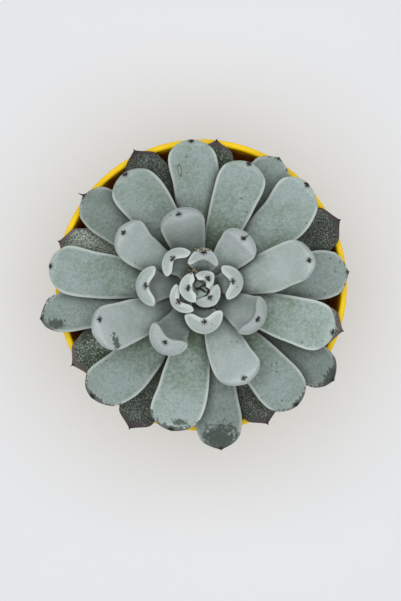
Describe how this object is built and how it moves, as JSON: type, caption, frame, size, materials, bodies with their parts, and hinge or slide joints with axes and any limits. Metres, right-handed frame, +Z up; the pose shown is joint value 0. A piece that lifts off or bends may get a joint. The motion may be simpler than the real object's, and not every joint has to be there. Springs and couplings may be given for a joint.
{
  "type": "potted succulent",
  "caption": "Rosette succulent with fleshy grey-green spoon-shaped leaves, growing from a short stem in soil, in a round tapered plastic pot with a collared rim.",
  "frame": {"origin": "centre of the pot's flat underside", "axes": "+Z up along the pot's axis, +X and +Y level; seen from above with +X to the right, +Y points to the top"},
  "size_m": [0.1039, 0.1052, 0.1196],
  "materials": {
    "pot": "smooth moulded yellow plastic, satin gloss",
    "soil": "dark crumbly potting mix with pale perlite grains, matt",
    "stem": "dull grey-green plant stem",
    "old_leaf": "dark green old leaf with worn whitish bloom and brown edge",
    "grown_leaf": "grey-green fleshy leaf with powdery bloom and pale margin",
    "young_leaf": "pale blue-grey young leaf with thick powdery bloom and pale margin"
  },
  "bodies": {
    "root": {"pot": "pot", "soil": "soil", "stem": "stem", "outer_leaf_1": "old_leaf", "outer_leaf_2": "old_leaf", "outer_leaf_3": "old_leaf", "outer_leaf_4": "old_leaf", "outer_leaf_5": "old_leaf", "outer_leaf_6": "old_leaf", "outer_leaf_7": "old_leaf", "outer_leaf_8": "old_leaf", "lower_leaf_1": "grown_leaf", "lower_leaf_2": "grown_leaf", "lower_leaf_3": "grown_leaf", "lower_leaf_4": "grown_leaf", "lower_leaf_5": "grown_leaf", "lower_leaf_6": "grown_leaf", "main_leaf_1": "grown_leaf", "main_leaf_2": "grown_leaf", "main_leaf_3": "grown_leaf", "main_leaf_4": "grown_leaf", "main_leaf_5": "grown_leaf", "main_leaf_6": "grown_leaf", "main_leaf_7": "grown_leaf", "main_leaf_8": "grown_leaf", "main_leaf_9": "grown_leaf", "upper_leaf_1": "young_leaf", "upper_leaf_2": "young_leaf", "upper_leaf_3": "young_leaf", "upper_leaf_4": "young_leaf", "upper_leaf_5": "young_leaf", "upper_leaf_6": "young_leaf", "inner_leaf_1": "young_leaf", "inner_leaf_2": "young_leaf", "inner_leaf_3": "young_leaf", "inner_leaf_4": "young_leaf", "inner_leaf_5": "young_leaf", "inner_leaf_6": "young_leaf", "inner_leaf_7": "young_leaf", "inner_leaf_8": "young_leaf", "heart_leaf_1": "young_leaf", "heart_leaf_2": "young_leaf", "heart_leaf_3": "young_leaf", "bud_leaf_1": "young_leaf", "bud_leaf_2": "young_leaf", "bud_leaf_3": "young_leaf"}
  },
  "joints": []
}
